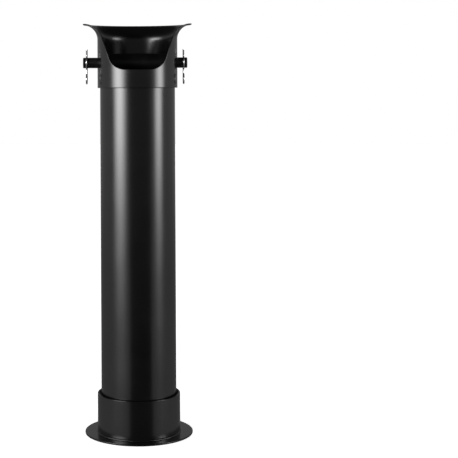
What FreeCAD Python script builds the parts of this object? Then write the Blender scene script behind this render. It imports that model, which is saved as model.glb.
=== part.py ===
import FreeCAD, Part

import math
import os

import Sketcher

# Floor-standing espresso knock tube: a flared head with a knock bar sits on a plain tube,
# and the tube stands in the collar of a flat round base.
# Millimetres.  +Z is up, the open front of the head faces -Y, the bar runs along X.
# The origin is the centre of the underside of the base pad.

SIZES = {
    # base
    "pad_inset": 7.5,
    "pad_thickness": 1.5,
    "flange_width": 25,
    "plate_thickness": 3.5,
    "collar_height": 76,
    "collar_wall": 3,
    "collar_gap": 4.5,
    "weld_leg": 2.5,
    "seal_height": 8,
    "seal_recess": 1.8,
    "seat_reach": 7.5,
    "seat_thickness": 3,
    "seat_lip": 12,
    # tube
    "tube_od": 150,
    "tube_wall": 2.5,
    "tube_length": 705,
    "gasket_thickness": 2.5,
    "gasket_skirt": 15,
    "gasket_reach": 1.5,
    # head
    "head_gap": 2.5,
    "head_wall": 2.5,
    "head_height": 128.5,
    "flare_radius": 31.5,
    "stop_height": 26,
    "stop_width": 6,
    "stop_thickness": 3,
    "cut_bottom": 36.3,
    "cut_side": 53.5,
    "cut_corner_radius": 32,
    "cut_flare_radius": 43,
    "cut_crest": 0.05,
    # knock bar
    "rod_od": 21,
    "rod_overhang": 24.25,
    "rod_shift": 4.5,
    "rod_chamfer": 1,
    "bar_hole_height": 51.4,
    "bar_hole_play": 3,
    "pin_inset": 7.5,
    "pin_hole_play": 0.8,
    "grip_wall": 8,
    "grip_end_gap": 15,
    # spring clips
    "clip_wire": 3.2,
    "clip_ring_radius": 8.4,
    "clip_bend_radius": 4,
    "clip_drop": 22.5,
    "clip_tail": 16.5,
    "clip_tip": 10,
    "clip_hug_angle": 50,
    "clip_tip_angle": 65,
    # clearances and edges
    "rubber_clearance": 0.3,
    "seat_clearance": 0.2,
    "rest_clearance": 0.3,
    "glue_clearance": 0.05,
    "grip_clearance": 0.08,
    "sheet_edge": 0.8,
    "small_edge": 0.5,
    "grip_edge": 2,
}

# Radii that several pieces share.
TUBE_OUTER = "Dims.tube_od / 2"
TUBE_INNER = f"({TUBE_OUTER} - Dims.tube_wall)"
TUBE_TOUCH = f"({TUBE_OUTER} + Dims.rubber_clearance)"
COLLAR_INNER = f"({TUBE_OUTER} + Dims.collar_gap)"
COLLAR_OUTER = f"({COLLAR_INNER} + Dims.collar_wall)"
HEAD_INNER = f"({TUBE_OUTER} + Dims.head_gap)"
HEAD_TOUCH = f"({HEAD_INNER} - Dims.rubber_clearance)"
HEAD_OUTER = f"({HEAD_INNER} + Dims.head_wall)"
PLATE_OUTER = f"({COLLAR_OUTER} + Dims.flange_width)"

# Heights above the floor, each built on the piece below it.
PLATE_Z = "Dims.pad_thickness"
PLATE_TOP = f"({PLATE_Z} + Dims.plate_thickness)"
COLLAR_TOP = f"({PLATE_TOP} + Dims.collar_height)"
SEAL_Z = f"({COLLAR_TOP} - Dims.seal_recess - Dims.seal_height)"
SEAT_Z = f"({PLATE_TOP} + Dims.glue_clearance)"
TUBE_Z = f"({SEAT_Z} + Dims.seat_thickness + Dims.seat_clearance)"
TUBE_TOP = f"({TUBE_Z} + Dims.tube_length)"
GASKET_TOP = f"({TUBE_TOP} + Dims.seat_clearance + Dims.gasket_thickness)"
STOP_Z = f"({GASKET_TOP} + Dims.seat_clearance)"
HEAD_Z = f"({STOP_Z} - Dims.stop_height)"
HOLE_Z = f"({HEAD_Z} + Dims.bar_hole_height)"
ROD_Z = f"({HOLE_Z} - Dims.bar_hole_play / 2 + Dims.rest_clearance)"

# Distances along the bar from its middle.
ROD_END = f"({HEAD_OUTER} + Dims.rod_overhang)"
PIN_X = f"({ROD_END} - Dims.pin_inset)"
GRIP_END = f"({HEAD_INNER} - Dims.grip_end_gap)"


def make_sheet(doc):
    """Put the driving sizes in a spreadsheet, one alias to a row."""
    sheet = doc.addObject("Spreadsheet::Sheet", "Dims")
    for row, (alias, value) in enumerate(SIZES.items(), start=1):
        sheet.set(f"A{row}", alias)
        sheet.set(f"B{row}", str(value))
        sheet.setAlias(f"B{row}", alias)
    doc.recompute()
    return sheet


def make_body(doc, label, place):
    """Add a body and bind its place, given as {axis: expression}."""
    body = doc.addObject("PartDesign::Body", label)
    for axis, expression in place.items():
        body.setExpression(f"Placement.Base.{axis}", expression)
    return body


def make_sketch(body, plane, name):
    """Add a sketch on one of the body's own origin planes."""
    sketch = body.newObject("Sketcher::SketchObject", name)
    origin_plane = [f for f in body.Origin.OriginFeatures if f.Role == plane][0]
    sketch.AttachmentSupport = [(origin_plane, "")]
    sketch.MapMode = "FlatFace"
    return sketch


def bind(sketch, kind, refs, expression):
    """Add a dimension to a sketch and bind it to an expression."""
    value = sketch.evalExpression(expression)
    index = sketch.addConstraint(Sketcher.Constraint(kind, *refs, float(value)))
    sketch.setExpression(f"Constraints[{index}]", expression)


def draw_outline(sketch, points):
    """Draw a closed outline of straight lines; each corner is a pair of expressions."""
    corners = []
    for across, up in points:
        x = float(sketch.evalExpression(across))
        y = float(sketch.evalExpression(up))
        corners.append(FreeCAD.Vector(x, y, 0))
    count = len(corners)
    for i in range(count):
        sketch.addGeometry(Part.LineSegment(corners[i], corners[(i + 1) % count]))
    for i, (across, up) in enumerate(points):
        sketch.addConstraint(Sketcher.Constraint("Coincident", i, 1, (i - 1) % count, 2))
        if across == "0":
            sketch.addConstraint(Sketcher.Constraint("PointOnObject", i, 1, -2))
        else:
            bind(sketch, "DistanceX", (-1, 1, i, 1), across)
        if up == "0":
            sketch.addConstraint(Sketcher.Constraint("PointOnObject", i, 1, -1))
        else:
            bind(sketch, "DistanceY", (-1, 1, i, 1), up)


def draw_circle(sketch, diameter, across="0"):
    """Draw a circle of a bound diameter, centred on the horizontal axis."""
    x = float(sketch.evalExpression(across))
    radius = float(sketch.evalExpression(diameter)) / 2
    circle = Part.Circle(FreeCAD.Vector(x, 0, 0), FreeCAD.Vector(0, 0, 1), radius)
    index = sketch.addGeometry(circle)
    bind(sketch, "Diameter", (index,), diameter)
    if across == "0":
        sketch.addConstraint(Sketcher.Constraint("Coincident", index, 3, -1, 1))
    else:
        sketch.addConstraint(Sketcher.Constraint("PointOnObject", index, 3, -1))
        bind(sketch, "DistanceX", (-1, 1, index, 3), across)


def make_turned(doc, label, z, points):
    """Turn an outline of (radius, height) corners about the body's Z axis."""
    body = make_body(doc, label, {"z": z})
    sketch = make_sketch(body, "XZ_Plane", f"{label}_profile")
    draw_outline(sketch, points)
    turn = body.newObject("PartDesign::Revolution", f"{label}_turn")
    turn.Profile = sketch
    turn.ReferenceAxis = (sketch, ["V_Axis"])
    turn.Angle = 360
    doc.recompute()
    return body


def dress_edges(doc, body, kind, size, wanted):
    """Round or chamfer the body's circular edges that pass the test."""
    tip = body.Tip
    names = []
    for number, edge in enumerate(tip.Shape.Edges, start=1):
        if isinstance(edge.Curve, Part.Circle) and wanted(edge):
            names.append(f"Edge{number}")
    dress = body.newObject(f"PartDesign::{kind}", f"{body.Label}_edges")
    dress.Base = (tip, names)
    dress.setExpression("Radius" if kind == "Fillet" else "Size", size)
    doc.recompute()


def every_edge(edge):
    return True


def make_base(doc):
    """Rubber pad, steel plate, welded collar and the two rubber rings that hold the tube."""
    pad_radius = f"{PLATE_OUTER} - Dims.pad_inset"
    make_turned(doc, "base_pad", "0", [
        ("0", "0"),
        (pad_radius, "0"),
        (pad_radius, "Dims.pad_thickness"),
        ("0", "Dims.pad_thickness"),
    ])

    plate = make_turned(doc, "base_plate", PLATE_Z, [
        ("0", "0"),
        (PLATE_OUTER, "0"),
        (PLATE_OUTER, "Dims.plate_thickness"),
        ("0", "Dims.plate_thickness"),
    ])
    dress_edges(doc, plate, "Fillet", "Dims.sheet_edge", every_edge)

    collar = make_turned(doc, "base_collar", PLATE_TOP, [
        (COLLAR_INNER, "0"),
        (f"{COLLAR_OUTER} + Dims.weld_leg", "0"),
        (COLLAR_OUTER, "Dims.weld_leg"),
        (COLLAR_OUTER, "Dims.collar_height"),
        (COLLAR_INNER, "Dims.collar_height"),
    ])
    above_weld = float(collar.evalExpression("Dims.collar_height / 2"))
    dress_edges(doc, collar, "Fillet", "Dims.sheet_edge",
                lambda edge: edge.Vertexes[0].Point.z > above_weld)

    seal_outer = f"{COLLAR_INNER} - Dims.glue_clearance"
    seal = make_turned(doc, "collar_seal", SEAL_Z, [
        (TUBE_TOUCH, "0"),
        (seal_outer, "0"),
        (seal_outer, "Dims.seal_height"),
        (TUBE_TOUCH, "Dims.seal_height"),
    ])
    dress_edges(doc, seal, "Fillet", "Dims.small_edge", every_edge)

    seat_outer = f"{COLLAR_INNER} - Dims.rubber_clearance"
    seat_inner = f"{TUBE_INNER} - Dims.seat_reach"
    lip_top = "Dims.seat_thickness + Dims.seat_lip"
    seat = make_turned(doc, "tube_seat", SEAT_Z, [
        (seat_inner, "0"),
        (seat_outer, "0"),
        (seat_outer, lip_top),
        (TUBE_TOUCH, lip_top),
        (TUBE_TOUCH, "Dims.seat_thickness"),
        (seat_inner, "Dims.seat_thickness"),
    ])
    dress_edges(doc, seat, "Fillet", "Dims.small_edge", every_edge)


def make_tube(doc):
    """Plain tube and the rubber gasket that caps its rim under the head."""
    tube = make_turned(doc, "tube", TUBE_Z, [
        (TUBE_INNER, "0"),
        (TUBE_OUTER, "0"),
        (TUBE_OUTER, "Dims.tube_length"),
        (TUBE_INNER, "Dims.tube_length"),
    ])
    dress_edges(doc, tube, "Fillet", "Dims.sheet_edge", every_edge)

    gasket_height = "Dims.gasket_skirt + Dims.gasket_thickness"
    gasket_inner = f"{TUBE_INNER} - Dims.gasket_reach"
    gasket = make_turned(doc, "rim_gasket", f"{GASKET_TOP} - ({gasket_height})", [
        (TUBE_TOUCH, "0"),
        (HEAD_TOUCH, "0"),
        (HEAD_TOUCH, gasket_height),
        (gasket_inner, gasket_height),
        (gasket_inner, "Dims.gasket_skirt"),
        (TUBE_TOUCH, "Dims.gasket_skirt"),
    ])
    dress_edges(doc, gasket, "Fillet", "Dims.small_edge", every_edge)


def make_stop_ring(doc):
    """Ring inside the head that rests on the gasket."""
    outer = f"{HEAD_INNER} - Dims.glue_clearance"
    inner = f"{HEAD_INNER} - Dims.stop_width"
    ring = make_turned(doc, "head_stop_ring", STOP_Z, [
        (inner, "0"),
        (outer, "0"),
        (outer, "Dims.stop_thickness"),
        (inner, "Dims.stop_thickness"),
    ])
    dress_edges(doc, ring, "Fillet", "Dims.small_edge", every_edge)


def make_rod(doc):
    """Steel knock bar with a cross hole for a spring clip near each end."""
    place = {"x": "-Dims.rod_shift", "z": ROD_Z}
    rod = make_body(doc, "knock_bar_rod", place)
    section = make_sketch(rod, "YZ_Plane", "rod_section")
    draw_circle(section, "Dims.rod_od")
    bar = rod.newObject("PartDesign::Pad", "rod_bar")
    bar.Profile = section
    bar.Midplane = True
    bar.setExpression("Length", f"2 * {ROD_END}")
    doc.recompute()
    dress_edges(doc, rod, "Chamfer", "Dims.rod_chamfer", every_edge)
    holes = make_sketch(rod, "XY_Plane", "pin_holes")
    pin_hole = "Dims.clip_wire + Dims.pin_hole_play"
    draw_circle(holes, pin_hole, PIN_X)
    draw_circle(holes, pin_hole, f"-{PIN_X}")
    drill = rod.newObject("PartDesign::Pocket", "pin_drill")
    drill.Profile = holes
    drill.Type = "ThroughAll"
    drill.Midplane = True
    doc.recompute()


def make_grip(doc):
    """Thick rubber tube on the middle of the knock bar."""
    place = {"x": "-Dims.rod_shift", "z": ROD_Z}
    grip = make_body(doc, "knock_bar_sleeve", place)
    section = make_sketch(grip, "YZ_Plane", "grip_section")
    bore = "Dims.rod_od + 2 * Dims.grip_clearance"
    draw_circle(section, f"{bore} + 2 * Dims.grip_wall")
    draw_circle(section, bore)
    pad = grip.newObject("PartDesign::Pad", "grip_tube")
    pad.Profile = section
    pad.Midplane = True
    pad.setExpression("Length", f"2 * {GRIP_END}")
    doc.recompute()
    mid_wall = float(grip.evalExpression("(Dims.rod_od + Dims.grip_wall) / 2"))
    dress_edges(doc, grip, "Fillet", "Dims.grip_edge",
                lambda edge: edge.Curve.Radius > mid_wall)


def arc(centre, radius, start, end, plane):
    """Arc edge about a centre given in the plane's two coordinates, angles in degrees."""
    points = []
    for angle in (start, (start + end) / 2, end):
        turn = math.radians(angle)
        across = centre[0] + radius * math.cos(turn)
        up = centre[1] + radius * math.sin(turn)
        points.append(plane(across, up))
    return Part.Arc(*points).toShape()


def front_plane(across, up):
    """Upright plane that faces the front: across is +X."""
    return FreeCAD.Vector(across, 0, up)


def side_plane(across, up):
    """Upright plane through the axis: across points to the front, -Y."""
    return FreeCAD.Vector(0, -across, up)


def front_cut_tool(dims, lip_radius):
    """Prism that cuts the U-shaped opening out of the front half of the head."""
    half_flat = lip_radius - dims.flare_radius - dims.cut_side
    low = (half_flat, dims.cut_bottom + dims.cut_corner_radius)
    high = (lip_radius, dims.head_height + dims.cut_crest - dims.cut_flare_radius)
    run = high[0] - low[0]
    rise = high[1] - low[1]
    radii = dims.cut_corner_radius + dims.cut_flare_radius
    slope = math.degrees(math.atan2(rise, run) + math.asin(radii / math.hypot(run, rise)))
    side = [
        arc(low, dims.cut_corner_radius, -90, slope - 90, front_plane),
        arc(high, dims.cut_flare_radius, slope + 90, 90, front_plane),
    ]
    flank = Part.makeLine(side[0].Vertexes[-1].Point, side[1].Vertexes[0].Point)
    crest = high[1] + dims.cut_flare_radius
    above = crest + dims.cut_flare_radius
    riser = Part.makeLine(front_plane(lip_radius, crest), front_plane(lip_radius, above))
    side += [flank, riser]
    mirrored = [edge.mirror(FreeCAD.Vector(), FreeCAD.Vector(1, 0, 0)) for edge in side]
    floor = Part.makeLine(front_plane(-half_flat, dims.cut_bottom),
                          front_plane(half_flat, dims.cut_bottom))
    roof = Part.makeLine(front_plane(-lip_radius, above), front_plane(lip_radius, above))
    edges = Part.__sortEdges__([floor, roof] + side + mirrored)
    return Part.Face(Part.Wire(edges)).extrude(FreeCAD.Vector(0, -2 * lip_radius, 0))


def make_head_shell(doc, dims):
    """Spun sheet head: its inner surface is turned, cut at the front and thickened outward."""
    inner = dims.tube_od / 2 + dims.head_gap
    flare_start = dims.head_height - dims.flare_radius
    lip_radius = inner + dims.flare_radius
    wall = Part.makeLine(front_plane(inner, 0), front_plane(inner, flare_start))
    flare = arc((lip_radius, flare_start), dims.flare_radius, 180, 90, front_plane)
    surface = Part.Wire([wall, flare]).revolve(
        FreeCAD.Vector(), FreeCAD.Vector(0, 0, 1), 360)
    trimmed = Part.Shell(surface.cut(front_cut_tool(dims, lip_radius)).Faces)
    shell = trimmed.makeOffsetShape(dims.head_wall, 0.001, fill=True).Solids[0]

    across = 2 * lip_radius
    hole_start = FreeCAD.Vector(-across, 0, dims.bar_hole_height)
    hole_radius = (dims.rod_od + dims.bar_hole_play) / 2
    holes = Part.makeCylinder(hole_radius, 2 * across, hole_start, FreeCAD.Vector(1, 0, 0))
    shell = shell.cut(holes).Solids[0]
    edges = [edge for edge in shell.Edges if edge.Length > 2 * dims.head_wall]
    head = doc.addObject("Part::Feature", "head_shell")
    head.Shape = shell.makeFillet(dims.sheet_edge, edges)
    head.setExpression("Placement.Base.z", HEAD_Z)


def clip_path(dims):
    """Centre line of a spring clip: straight leg, ring, and a leg that hugs the rod."""
    ring = dims.clip_ring_radius
    bend = dims.clip_bend_radius
    neck = ring - bend
    rod_radius = dims.rod_od / 2
    ring_centre = -(rod_radius + dims.clip_drop)
    ring_top = ring_centre + ring
    hug = rod_radius + dims.clip_wire / 2 + dims.rest_clearance
    angle = dims.clip_hug_angle
    turn = math.radians(angle)
    bend_height = (hug + bend - ring * math.cos(turn)) / math.sin(turn)
    tip_turn = 180 + angle - dims.clip_tip_angle

    leg = Part.makeLine(side_plane(0, rod_radius + dims.clip_tail),
                        side_plane(0, ring_centre))
    loop = [arc((ring, ring_centre), ring, 180, 315, side_plane),
            arc((ring, ring_centre), ring, 315, 450, side_plane)]
    back = arc((ring, ring_top + bend), bend, 270, 180, side_plane)
    neck_line = Part.makeLine(side_plane(neck, ring_top + bend),
                              side_plane(neck, -bend_height))
    lower = arc((ring, -bend_height), bend, 180, 180 - angle, side_plane)
    hump = arc((0, 0), hug, -angle, angle, side_plane)
    upper = arc((ring, bend_height), bend, 180 + angle, tip_turn, side_plane)
    lower_run = Part.makeLine(lower.Vertexes[-1].Point, hump.Vertexes[0].Point)
    upper_run = Part.makeLine(hump.Vertexes[-1].Point, upper.Vertexes[0].Point)
    tip_start = upper.Vertexes[-1].Point
    heading = math.radians(tip_turn - 90)
    tip_end = tip_start + side_plane(dims.clip_tip * math.cos(heading),
                                     dims.clip_tip * math.sin(heading))
    tip = Part.makeLine(tip_start, tip_end)
    return Part.Wire([leg] + loop + [back, neck_line, lower, lower_run, hump,
                                     upper_run, upper, tip])


def make_clips(doc, dims):
    """Hairpin spring clips, one through each end of the knock bar."""
    start = side_plane(0, dims.rod_od / 2 + dims.clip_tail)
    profile = Part.Wire(Part.makeCircle(dims.clip_wire / 2, start, FreeCAD.Vector(0, 0, -1)))
    wire = clip_path(dims).makePipeShell([profile], True, False)
    for label, side in (("clip_left", "-"), ("clip_right", "+")):
        clip = doc.addObject("Part::Feature", label)
        clip.Shape = wire
        clip.setExpression("Placement.Base.x", f"-Dims.rod_shift {side} {PIN_X}")
        clip.setExpression("Placement.Base.z", ROD_Z)


NODES = [
    "base_pad", "base_plate", "base_collar", "collar_seal", "tube_seat",
    "tube", "rim_gasket", "head_shell", "head_stop_ring",
    "knock_bar_rod", "knock_bar_sleeve", "clip_left", "clip_right",
]


def export_nodes(doc):
    """Check the whole document, then write one STEP file to a node."""
    doc.recompute()
    for item in doc.Objects:
        if "Invalid" in item.State or "Error" in item.State:
            raise RuntimeError(f"{item.Label} did not compute: {item.State}")
    os.makedirs("parts", exist_ok=True)
    for label in NODES:
        node = doc.getObjectsByLabel(label)[0]
        if node.Shape.isNull() or not node.Shape.isValid():
            raise RuntimeError(f"{label} is not a valid solid")
        node.Shape.exportStep(f"parts/{label}.step")


def main():
    doc = FreeCAD.newDocument("knock_tube")
    dims = make_sheet(doc)
    make_base(doc)
    make_tube(doc)
    make_head_shell(doc, dims)
    make_stop_ring(doc)
    make_rod(doc)
    make_grip(doc)
    make_clips(doc, dims)
    export_nodes(doc)


main()
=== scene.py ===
import math

import bmesh
import bpy
from mathutils import Matrix, Vector


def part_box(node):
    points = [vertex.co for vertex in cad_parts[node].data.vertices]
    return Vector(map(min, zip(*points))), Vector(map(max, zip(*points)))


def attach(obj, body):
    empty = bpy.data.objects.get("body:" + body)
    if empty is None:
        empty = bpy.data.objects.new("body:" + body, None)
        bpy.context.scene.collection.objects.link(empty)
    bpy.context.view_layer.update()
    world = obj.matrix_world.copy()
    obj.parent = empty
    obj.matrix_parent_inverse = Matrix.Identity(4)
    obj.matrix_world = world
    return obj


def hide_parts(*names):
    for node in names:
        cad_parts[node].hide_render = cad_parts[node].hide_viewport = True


# A floor-standing espresso knock tube: flared head with a knock bar, tube, flanged base.
# Metres.  +Z is up, the open front of the head faces -Y, the bar runs along X.

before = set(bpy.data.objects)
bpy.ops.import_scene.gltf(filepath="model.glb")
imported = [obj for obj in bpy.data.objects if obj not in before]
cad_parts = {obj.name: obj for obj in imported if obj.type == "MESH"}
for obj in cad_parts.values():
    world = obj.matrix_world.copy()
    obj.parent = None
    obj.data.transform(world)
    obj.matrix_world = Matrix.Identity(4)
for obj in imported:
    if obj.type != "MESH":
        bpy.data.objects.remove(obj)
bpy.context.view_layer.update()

MM = 0.001

# Sheet, rubber and edge sizes that the boxes of the frame don't tell.
SHEET = 2.5 * MM
COLLAR_SHEET = 3 * MM
SHEET_EDGE = 0.8 * MM
WELD_LEG = 2.5 * MM

# Front opening of the head, heights above its lower edge.
CUT_BOTTOM = 36.3 * MM
CUT_FLAT = 24 * MM
CUT_CORNER = 32 * MM
CUT_FLARE = 43 * MM

# Holes for the knock bar, and the bar itself.
BAR_HOLE_RADIUS = 12 * MM
BAR_HOLE_HEIGHT = 51.4 * MM
PIN_HOLE_RADIUS = 2 * MM
ROD_CHAMFER = 1 * MM
GRIP_BORE_GAP = 0.08 * MM

# Spring clips.
CLIP_WIRE = 1.6 * MM
CLIP_RING = 8.4 * MM
CLIP_BEND = 4 * MM
CLIP_DROP = 33 * MM
CLIP_TAIL = 27 * MM
CLIP_TIP = 10 * MM
CLIP_HUG = 12.4 * MM

ROUND_STEPS = 160

# Studio, azimuths in degrees from the front, positive towards +X.
DARK_MIDDLE = 7.0
DARK_HALF = 33.0
DARK_LEVELS = (0.03, 0.20)
SIDE_LEVEL = 0.42
BACK_LEVEL = 0.12
STRIPS = ((-56.5, 27.0, 19.0), (66.5, 19.0, 13.5))


# ---------------------------------------------------------------- materials

class Finish:
    """Node tree of one material, with short calls for the nodes that these finishes use."""

    def __init__(self, name):
        self.material = bpy.data.materials.new(name)
        self.material.use_nodes = True
        self.tree = self.material.node_tree
        self.shader = self.tree.nodes["Principled BSDF"]
        self.coords = self.tree.nodes.new("ShaderNodeTexCoord").outputs["Object"]

    def node(self, kind, inputs=None, **settings):
        node = self.tree.nodes.new(kind)
        for key, value in settings.items():
            setattr(node, key, value)
        for key, value in (inputs or {}).items():
            self.feed(node.inputs[key], value)
        return node

    def feed(self, socket, value):
        if isinstance(value, bpy.types.NodeSocket):
            self.tree.links.new(value, socket)
        else:
            socket.default_value = value

    def noise(self, scale, detail=3.0, stretch=(1, 1, 1)):
        """Noise in object space; stretch multiplies the scale along each axis."""
        mapping = self.node("ShaderNodeMapping", {"Vector": self.coords, "Scale": stretch})
        return self.node("ShaderNodeTexNoise", {
            "Vector": mapping.outputs["Vector"], "Scale": scale, "Detail": detail,
        }).outputs["Fac"]

    def spread(self, value, low, high):
        """Map a 0 to 1 value to the range low to high."""
        return self.node("ShaderNodeMapRange", {
            "Value": value, "From Min": 0.3, "From Max": 0.7, "To Min": low, "To Max": high,
        }).outputs["Result"]

    def ramp(self, value, stops):
        """Colour ramp from (position, colour) stops."""
        node = self.node("ShaderNodeValToRGB", {"Fac": value})
        elements = node.color_ramp.elements
        while len(elements) < len(stops):
            elements.new(0.5)
        for element, (position, colour) in zip(elements, stops):
            element.position = position
            element.color = (*colour, 1)
        return node.outputs["Color"]

    def bump(self, height, strength, distance, under=None):
        inputs = {"Height": height, "Strength": strength, "Distance": distance}
        if under is not None:
            inputs["Normal"] = under
        return self.node("ShaderNodeBump", inputs).outputs["Normal"]

    def set(self, **inputs):
        for key, value in inputs.items():
            self.feed(self.shader.inputs[key.replace("_", " ")], value)
        return self.material


def powder_coat():
    """Satin black powder coat with fine orange peel."""
    finish = Finish("black_powder_coat")
    cloud = finish.noise(14, 2)
    peel = finish.noise(620, 2)
    grain = finish.noise(2600, 1)
    colour = finish.ramp(cloud, [(0.35, (0.0026, 0.0026, 0.0027)), (0.65, (0.0036, 0.0036, 0.0037))])
    soft = finish.bump(peel, 0.10, 0.00025)
    return finish.set(
        Base_Color=colour,
        Roughness=finish.spread(cloud, 0.20, 0.23),
        Normal=finish.bump(grain, 0.05, 0.00006, soft),
    )


def bar_coat():
    """Smoother black coat of the knock bar."""
    finish = Finish("black_bar_coat")
    cloud = finish.noise(60, 2)
    lines = finish.noise(900, 2, (1, 0.05, 0.05))
    colour = finish.ramp(cloud, [(0.3, (0.004, 0.004, 0.004)), (0.7, (0.007, 0.007, 0.007))])
    return finish.set(
        Base_Color=colour,
        Roughness=finish.spread(cloud, 0.28, 0.38),
        Normal=finish.bump(lines, 0.08, 0.0001),
    )


def rubber(name, shade, rough, pebble):
    """Matte black rubber with a fine pebbled skin and faint handling marks."""
    finish = Finish(name)
    cloud = finish.noise(35, 3)
    skin = finish.noise(pebble, 2)
    dark = (shade * 0.75,) * 3
    light = (shade * 1.3,) * 3
    return finish.set(
        Base_Color=finish.ramp(cloud, [(0.3, dark), (0.7, light)]),
        Roughness=finish.spread(cloud, rough - 0.06, rough + 0.06),
        Specular_IOR_Level=0.22,
        Normal=finish.bump(skin, 0.12, 0.00015),
    )


def spring_steel():
    """Bright zinc-plated wire with faint drawing lines and dull patches."""
    finish = Finish("spring_steel")
    patches = finish.noise(160, 3)
    lines = finish.noise(1800, 2, (1, 1, 0.1))
    return finish.set(
        Base_Color=finish.ramp(patches, [(0.3, (0.62, 0.62, 0.62)), (0.7, (0.80, 0.80, 0.79))]),
        Metallic=1.0,
        Roughness=finish.spread(patches, 0.14, 0.28),
        Normal=finish.bump(lines, 0.08, 0.00005),
    )


COAT = powder_coat()
BAR_COAT = bar_coat()
SLEEVE_RUBBER = rubber("sleeve_rubber", 0.003, 0.42, 1400)
RING_RUBBER = rubber("ring_rubber", 0.005, 0.60, 1100)
STEEL = spring_steel()


# ---------------------------------------------------------------- mesh helpers

def sharp_rings(bm, limit=30):
    """Edges that turn by more than limit degrees."""
    turn = math.radians(limit)
    return [edge for edge in bm.edges if len(edge.link_faces) == 2
            and edge.calc_face_angle() > turn]


def round_over(bm, edges, radius, segments=4):
    bmesh.ops.bevel(bm, geom=edges, offset=radius, offset_type="OFFSET", affect="EDGES",
                    segments=segments, profile=0.5, material=-1, clamp_overlap=True)


def turn_outline(outline, steps=ROUND_STEPS):
    """Turn a closed outline of (radius, height) corners about Z."""
    bm = bmesh.new()
    corners = [bm.verts.new((radius, 0, height)) for radius, height in outline]
    for first, second in zip(corners, corners[1:] + corners[:1]):
        if first.co.x > 0 or second.co.x > 0:
            bm.edges.new((first, second))
    bmesh.ops.spin(bm, geom=bm.verts[:] + bm.edges[:], cent=(0, 0, 0), axis=(0, 0, 1),
                   angle=2 * math.pi, steps=steps, use_merge=True, use_duplicate=False)
    bmesh.ops.remove_doubles(bm, verts=bm.verts, dist=0.001 * MM)
    bmesh.ops.recalc_face_normals(bm, faces=bm.faces)
    return bm


def lay_along_x(bm, centre):
    """Tip a piece that was turned about Z over to the X axis, at the bar's centre."""
    tip = Matrix.Translation(centre) @ Matrix.Rotation(math.pi / 2, 4, "Y")
    bmesh.ops.transform(bm, matrix=tip, verts=bm.verts)


def add_piece(name, bm, material, body, node=None):
    """Make the object, smooth it between its hard edges and hang it on its body."""
    mesh = bpy.data.meshes.new(name)
    bm.to_mesh(mesh)
    bm.free()
    mesh.shade_smooth()
    mesh.set_sharp_from_angle(angle=math.radians(38))
    piece = bpy.data.objects.new(name, mesh)
    bpy.context.scene.collection.objects.link(piece)
    mesh.materials.append(material)
    weighted = piece.modifiers.new("even_shading", "WEIGHTED_NORMAL")
    weighted.keep_sharp = True
    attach(piece, body)
    if node:
        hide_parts(node)
    return piece


def subtract(bm, cutter_bm):
    """Cut one closed mesh out of another."""
    holder = bpy.data.objects.new("holder", bpy.data.meshes.new("holder"))
    cutter = bpy.data.objects.new("cutter", bpy.data.meshes.new("cutter"))
    bm.to_mesh(holder.data)
    cutter_bm.to_mesh(cutter.data)
    cutter_bm.free()
    for item in (holder, cutter):
        bpy.context.scene.collection.objects.link(item)
    cut = holder.modifiers.new("cut", "BOOLEAN")
    cut.operation = "DIFFERENCE"
    cut.solver = "EXACT"
    cut.object = cutter
    graph = bpy.context.evaluated_depsgraph_get()
    result = bpy.data.meshes.new_from_object(holder.evaluated_get(graph))
    bm.clear()
    bm.from_mesh(result)
    for item in (holder, cutter):
        bpy.data.meshes.remove(item.data)
    bpy.data.meshes.remove(result)


def drill_through(bm, radius, depth, segments, place):
    """Cut a round hole through a closed mesh; it runs along Z of place, centred on it."""
    drill = bmesh.new()
    bmesh.ops.create_cone(drill, cap_ends=True, segments=segments, radius1=radius,
                          radius2=radius, depth=depth, matrix=place)
    subtract(bm, drill)


# ---------------------------------------------------------------- base

def make_base():
    low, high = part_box("base_plate")
    plate = turn_outline([(0, low.z), (high.x, low.z), (high.x, high.z), (0, high.z)])
    round_over(plate, sharp_rings(plate), SHEET_EDGE)
    add_piece("base_plate_disc", plate, COAT, "base", "base_plate")

    low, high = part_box("base_collar")
    outer = high.x - WELD_LEG
    inner = outer - COLLAR_SHEET
    collar = turn_outline([(inner, low.z), (outer, low.z), (outer, high.z), (inner, high.z)])
    rim = [edge for edge in sharp_rings(collar) if edge.verts[0].co.z > high.z - MM]
    round_over(collar, rim, SHEET_EDGE)
    add_piece("base_collar_ring", collar, COAT, "base", "base_collar")
    make_weld_bead(outer, low.z)


def make_weld_bead(radius, height, ripples=190, steps_per_ripple=5):
    """Coated weld bead in the corner between collar and plate, with its fine ripples."""
    sink = 0.4 * MM
    bulge = []
    for i in range(6):
        angle = math.radians(90 * i / 5)
        bulge.append((radius - sink + (WELD_LEG + sink - 0.3 * MM) * math.cos(angle),
                      height - sink + (WELD_LEG + sink - 0.3 * MM) * math.sin(angle)))
    bead = turn_outline(bulge + [(radius - sink, height - sink)], ripples * steps_per_ripple)
    for vert in bead.verts:
        reach = math.hypot(vert.co.x, vert.co.y)
        if reach < radius and vert.co.z < height:
            continue
        wave = math.sin(math.atan2(vert.co.y, vert.co.x) * ripples)
        lift = 0.10 * MM * wave * abs(wave)
        vert.co.x += lift * vert.co.x / reach
        vert.co.y += lift * vert.co.y / reach
        vert.co.z += lift
    add_piece("collar_weld", bead, COAT, "base")


# ---------------------------------------------------------------- tube

def make_tube():
    low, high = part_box("tube")
    inner = high.x - SHEET
    tube = turn_outline([(inner, low.z), (high.x, low.z), (high.x, high.z), (inner, high.z)])
    round_over(tube, sharp_rings(tube), SHEET_EDGE)
    add_piece("tube_wall", tube, COAT, "tube_body", "tube")


# ---------------------------------------------------------------- head

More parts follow.
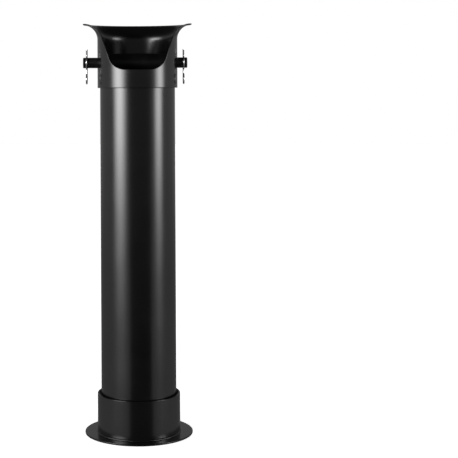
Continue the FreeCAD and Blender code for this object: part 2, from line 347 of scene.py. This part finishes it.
class HeadShape:
    """Sizes of the spun head, all from its box and the named sheet and cut sizes."""

    def __init__(self):
        low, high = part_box("head_shell")
        self.foot = low.z
        self.height = high.z - low.z
        self.lip = high.x
        self.inner = -low.y - SHEET
        self.flare = self.lip - self.inner
        self.straight = self.height - self.flare
        self.length = self.straight + self.flare * math.pi / 2
        run = self.lip - CUT_FLAT
        rise = self.height - CUT_FLARE - CUT_BOTTOM - CUT_CORNER
        reach = math.hypot(run, rise)
        self.slope = math.atan2(rise, run) + math.asin((CUT_CORNER + CUT_FLARE) / reach)

    def profile(self, along):
        """(radius, height) of the inner surface, a distance along it from the lower edge."""
        if along <= self.straight:
            return self.inner, along
        angle = (along - self.straight) / self.flare
        return (self.lip - self.flare * math.cos(angle),
                self.straight + self.flare * math.sin(angle))

    def cut_line(self, across):
        """Height of the front opening's edge at a distance from the middle."""
        low_centre = CUT_BOTTOM + CUT_CORNER
        high_centre = self.height - CUT_FLARE
        corner_end = CUT_FLAT + CUT_CORNER * math.sin(self.slope)
        flare_start = self.lip - CUT_FLARE * math.sin(self.slope)
        if across <= CUT_FLAT:
            return CUT_BOTTOM
        if across <= corner_end:
            return low_centre - math.sqrt(CUT_CORNER ** 2 - (across - CUT_FLAT) ** 2)
        if across <= flare_start:
            corner_top = low_centre - CUT_CORNER * math.cos(self.slope)
            return corner_top + (across - corner_end) * math.tan(self.slope)
        return high_centre + math.sqrt(CUT_FLARE ** 2 - (self.lip - across) ** 2)

    def edge_at(self, turn):
        """How far along the profile the sheet reaches, turn radians round from the front."""
        side = abs(math.sin(turn))
        if math.cos(turn) <= 0:
            return self.length
        low, high = 0.0, self.length
        steps = 400
        for i in range(1, steps + 1):
            along = self.length * i / steps
            radius, height = self.profile(along)
            if height > self.cut_line(radius * side):
                low, high = self.length * (i - 1) / steps, along
                break
        else:
            return self.length
        for _ in range(30):
            middle = (low + high) / 2
            radius, height = self.profile(middle)
            if height > self.cut_line(radius * side):
                high = middle
            else:
                low = middle
        return low


def spaced_turns():
    """Angles round the head from the back, closer together where the opening's edge runs."""
    turns = []
    angle = -180.0
    while angle < 180.0 - 1e-6:
        turns.append(math.radians(angle))
        around = abs(angle + 0.001)
        angle += 0.75 if 30 <= around < 90 else 2.0
    return turns


def head_surface(shape, rows=30):
    """Inner surface of the head, trimmed by the front opening."""
    bm = bmesh.new()
    columns = []
    for turn in spaced_turns():
        top = shape.edge_at(turn)
        column = []
        for row in range(rows + 1):
            radius, height = shape.profile(top * row / rows)
            column.append(bm.verts.new((radius * math.sin(turn), -radius * math.cos(turn),
                                        shape.foot + height)))
        columns.append(column)
    for left, right in zip(columns, columns[1:] + columns[:1]):
        for row in range(rows):
            bm.faces.new((left[row], right[row], right[row + 1], left[row + 1]))
    bmesh.ops.recalc_face_normals(bm, faces=bm.faces)
    return bm


def make_head():
    shape = HeadShape()
    bm = head_surface(shape)
    bmesh.ops.solidify(bm, geom=bm.faces[:], thickness=SHEET)
    # The wall is laid square to each face, so its outer rim ends a little past the lip.
    for vert in bm.verts:
        reach = math.hypot(vert.co.x, vert.co.y)
        if reach > shape.lip:
            vert.co.x *= shape.lip / reach
            vert.co.y *= shape.lip / reach
    bmesh.ops.recalc_face_normals(bm, faces=bm.faces)
    round_over(bm, sharp_rings(bm, 45), SHEET_EDGE, 3)
    across = Matrix.Translation((0, 0, shape.foot + BAR_HOLE_HEIGHT))
    across = across @ Matrix.Rotation(math.pi / 2, 4, "Y")
    drill_through(bm, BAR_HOLE_RADIUS, 4 * shape.inner, 64, across)
    add_piece("head_sheet", bm, COAT, "head", "head_shell")


# ---------------------------------------------------------------- knock bar

def make_rod():
    low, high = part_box("knock_bar_rod")
    centre = (low + high) / 2
    radius = (high.z - low.z) / 2
    half = (high.x - low.x) / 2
    face = [(0, half - 0.9 * MM), (1.6 * MM, half)]
    for ring in (3.2, 4.7, 6.2, 7.7):
        face += [((ring - 0.3) * MM, half), (ring * MM, half - 0.22 * MM),
                 ((ring + 0.3) * MM, half)]
    face += [(radius - ROD_CHAMFER, half), (radius, half - ROD_CHAMFER)]
    outline = face + [(across, -along) for across, along in reversed(face)]
    rod = turn_outline(outline, 96)
    lay_along_x(rod, centre)
    for node in ("clip_left", "clip_right"):
        clip_low, clip_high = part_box(node)
        place = Matrix.Translation(((clip_low.x + clip_high.x) / 2, 0, centre.z))
        drill_through(rod, PIN_HOLE_RADIUS, 3 * radius, 40, place)
    add_piece("knock_bar", rod, BAR_COAT, "bar_rod", "knock_bar_rod")


def make_grip():
    low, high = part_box("knock_bar_sleeve")
    rod_low, rod_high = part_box("knock_bar_rod")
    radius = (high.z - low.z) / 2
    half = (high.x - low.x) / 2
    bore = (rod_high.z - rod_low.z) / 2 + GRIP_BORE_GAP
    grip = turn_outline([(bore, -half), (radius, -half), (radius, half), (bore, half)], 128)
    outer = [e for e in sharp_rings(grip) if math.hypot(*e.verts[0].co.xy) > (bore + radius) / 2]
    round_over(grip, outer, 2 * MM, 5)
    round_over(grip, sharp_rings(grip, 60), 0.6 * MM, 2)
    lay_along_x(grip, (low + high) / 2)
    add_piece("bar_rubber_sleeve", grip, SLEEVE_RUBBER, "bar_sleeve",
              "knock_bar_sleeve")


# ---------------------------------------------------------------- spring clips

def arc_points(centre, radius, start, end, step=9):
    """Points of an arc in the clip's plane, angles in degrees."""
    count = max(2, round(abs(end - start) / step))
    points = []
    for i in range(count + 1):
        angle = math.radians(start + (end - start) * i / count)
        points.append((centre[0] + radius * math.cos(angle),
                       centre[1] + radius * math.sin(angle)))
    return points


def clip_route():
    """Centre line of a clip as (towards the front, up) from the bar's axis."""
    hug = 50
    turn = math.radians(hug)
    bend_height = (CLIP_HUG + CLIP_BEND - CLIP_RING * math.cos(turn)) / math.sin(turn)
    neck_end = CLIP_RING - CLIP_DROP + CLIP_BEND
    tip_turn = 165
    route = [(0, CLIP_TAIL), (0, -CLIP_DROP)]
    route += arc_points((CLIP_RING, -CLIP_DROP), CLIP_RING, 180, 450)[1:]
    route += arc_points((CLIP_RING, neck_end), CLIP_BEND, 270, 180)[1:]
    route += arc_points((CLIP_RING, -bend_height), CLIP_BEND, 180, 180 - hug)
    route += arc_points((0, 0), CLIP_HUG, -hug, hug)
    route += arc_points((CLIP_RING, bend_height), CLIP_BEND, 180 + hug, tip_turn)
    heading = math.radians(tip_turn - 90)
    end = route[-1]
    route.append((end[0] + CLIP_TIP * math.cos(heading), end[1] + CLIP_TIP * math.sin(heading)))
    return route


def make_clip(node, body):
    low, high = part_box(node)
    rod_low, rod_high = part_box("knock_bar_rod")
    across = (low.x + high.x) / 2
    middle = (rod_low.z + rod_high.z) / 2
    points = [Vector((across, -front, middle + up)) for front, up in clip_route()]
    curve = bpy.data.curves.new(node, "CURVE")
    curve.dimensions = "3D"
    curve.bevel_depth = CLIP_WIRE
    curve.bevel_resolution = 5
    curve.use_fill_caps = True
    spline = curve.splines.new("POLY")
    spline.points.add(len(points) - 1)
    for knot, place in zip(spline.points, points):
        knot.co = (*place, 1)
    holder = bpy.data.objects.new(node, curve)
    graph = bpy.context.evaluated_depsgraph_get()
    bpy.context.scene.collection.objects.link(holder)
    wire = bpy.data.meshes.new_from_object(holder.evaluated_get(graph))
    bm = bmesh.new()
    bm.from_mesh(wire)
    bpy.data.objects.remove(holder)
    bmesh.ops.remove_doubles(bm, verts=bm.verts, dist=0.001 * MM)
    bmesh.ops.recalc_face_normals(bm, faces=bm.faces)
    round_over(bm, sharp_rings(bm, 60), 0.5 * MM, 3)
    add_piece(f"{node}_wire", bm, STEEL, body, node)


# ---------------------------------------------------------------- room

def make_floor():
    """Pale floor; the glossy coat doesn't mirror it."""
    bm = bmesh.new()
    bmesh.ops.create_circle(bm, cap_ends=True, segments=64, radius=12)
    mesh = bpy.data.meshes.new("floor")
    bm.to_mesh(mesh)
    bm.free()
    floor = bpy.data.objects.new("floor", mesh)
    bpy.context.scene.collection.objects.link(floor)
    paint = Finish("pale_floor")
    mesh.materials.append(paint.set(Base_Color=(0.9, 0.9, 0.9, 1), Roughness=1.0,
                                    Emission_Color=(1, 1, 1, 1), Emission_Strength=0.9))
    floor.visible_glossy = False
    floor.visible_diffuse = False


def make_lights():
    """Weak soft light from above, for the matt faces only."""
    light = bpy.data.lights.new("overhead", "AREA")
    light.shape = "DISK"
    light.size = 2.5
    light.energy = 6
    lamp = bpy.data.objects.new("overhead", light)
    lamp.location = (0, -0.4, 2.8)
    lamp.visible_glossy = False
    bpy.context.scene.collection.objects.link(lamp)


def make_surroundings():
    """Studio seen in the glossy coat: dark in front and overhead, dimmer towards the back."""
    world = bpy.data.worlds.new("studio")
    bpy.context.scene.world = world
    world.use_nodes = True
    tree = world.node_tree
    tree.nodes.clear()

    def node(kind, inputs=None, **settings):
        made = tree.nodes.new(kind)
        for key, value in settings.items():
            setattr(made, key, value)
        for key, value in (inputs or {}).items():
            if isinstance(value, bpy.types.NodeSocket):
                tree.links.new(value, made.inputs[key])
            else:
                made.inputs[key].default_value = value
        return made

    def maths(operation, *values):
        inputs = dict(enumerate(values))
        return node("ShaderNodeMath", inputs, operation=operation).outputs[0]

    def fade(value, start, end, low, high):
        return node("ShaderNodeMapRange", {
            "Value": value, "From Min": start, "From Max": end, "To Min": low, "To Max": high,
        }, interpolation_type="SMOOTHSTEP").outputs["Result"]

    coords = node("ShaderNodeTexCoord").outputs["Generated"]
    split = node("ShaderNodeSeparateXYZ", {"Vector": coords})
    ahead = maths("MULTIPLY", split.outputs["Y"], -1.0)
    azimuth = maths("MULTIPLY", maths("ARCTAN2", split.outputs["X"], ahead), 180 / math.pi)
    off_middle = maths("ABSOLUTE", maths("SUBTRACT", azimuth, DARK_MIDDLE))
    sides = fade(off_middle, DARK_HALF - 3, DARK_HALF + 3, 0.0, 1.0)
    back = fade(maths("ABSOLUTE", azimuth), 80.0, 150.0, SIDE_LEVEL, BACK_LEVEL)
    overhead = fade(split.outputs["Z"], 0.30, 0.55, 1.0, 0.0)
    underneath = fade(split.outputs["Z"], -0.80, -0.30, 0.1, 1.0)
    level = maths("MULTIPLY", maths("MULTIPLY", sides, overhead),
                  maths("MULTIPLY", back, underneath))
    dark = maths("MULTIPLY", fade(split.outputs["Z"], -0.13, -0.05, *DARK_LEVELS),
                 fade(split.outputs["Z"], 0.15, 0.45, 1.0, 0.08))
    level = maths("ADD", level, dark)
    rise = maths("MULTIPLY", fade(split.outputs["Z"], -0.100, -0.025, 0.0, 1.0),
                 fade(split.outputs["Z"], 0.12, 0.42, 1.0, 0.0))
    for middle, half_width, strength in STRIPS:
        off = maths("ABSOLUTE", maths("SUBTRACT", azimuth, middle))
        strip = fade(off, 2.0, half_width, strength, 0.0)
        level = maths("ADD", level, maths("MULTIPLY", strip, rise))
    mirrored = node("ShaderNodeBackground", {"Color": level, "Strength": 1.0})
    backdrop = node("ShaderNodeBackground", {"Color": (1, 1, 1, 1), "Strength": 1.0})
    seen = node("ShaderNodeLightPath").outputs["Is Camera Ray"]
    mix = node("ShaderNodeMixShader", {0: seen, 1: mirrored.outputs[0], 2: backdrop.outputs[0]})
    node("ShaderNodeOutputWorld", {"Surface": mix.outputs[0]})


def make_camera():
    """Level camera, shifted down and sideways so that the tube's sides stay upright."""
    camera = bpy.data.cameras.new("camera")
    camera.sensor_width = 36
    camera.lens = 100.4
    camera.shift_x = 0.1998
    camera.shift_y = -0.319
    eye = bpy.data.objects.new("camera", camera)
    eye.location = (0, -2.56, 0.70)
    eye.rotation_euler = (math.radians(90), math.radians(0.27), 0)
    bpy.context.scene.collection.objects.link(eye)
    bpy.context.scene.camera = eye


def dress_cad_nodes():
    """Finishes for the rings that keep their CAD shape."""
    finishes = {
        "base_pad": RING_RUBBER,
        "collar_seal": RING_RUBBER,
        "tube_seat": RING_RUBBER,
        "rim_gasket": RING_RUBBER,
        "head_stop_ring": COAT,
    }
    for node, material in finishes.items():
        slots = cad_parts[node].data.materials
        slots.clear()
        slots.append(material)


make_base()
make_tube()
make_head()
make_rod()
make_grip()
make_clip("clip_left", "left_clip")
make_clip("clip_right", "right_clip")
dress_cad_nodes()
make_floor()
make_lights()
make_surroundings()
make_camera()

bpy.context.scene.view_settings.view_transform = "Standard"
bpy.context.view_layer.update()
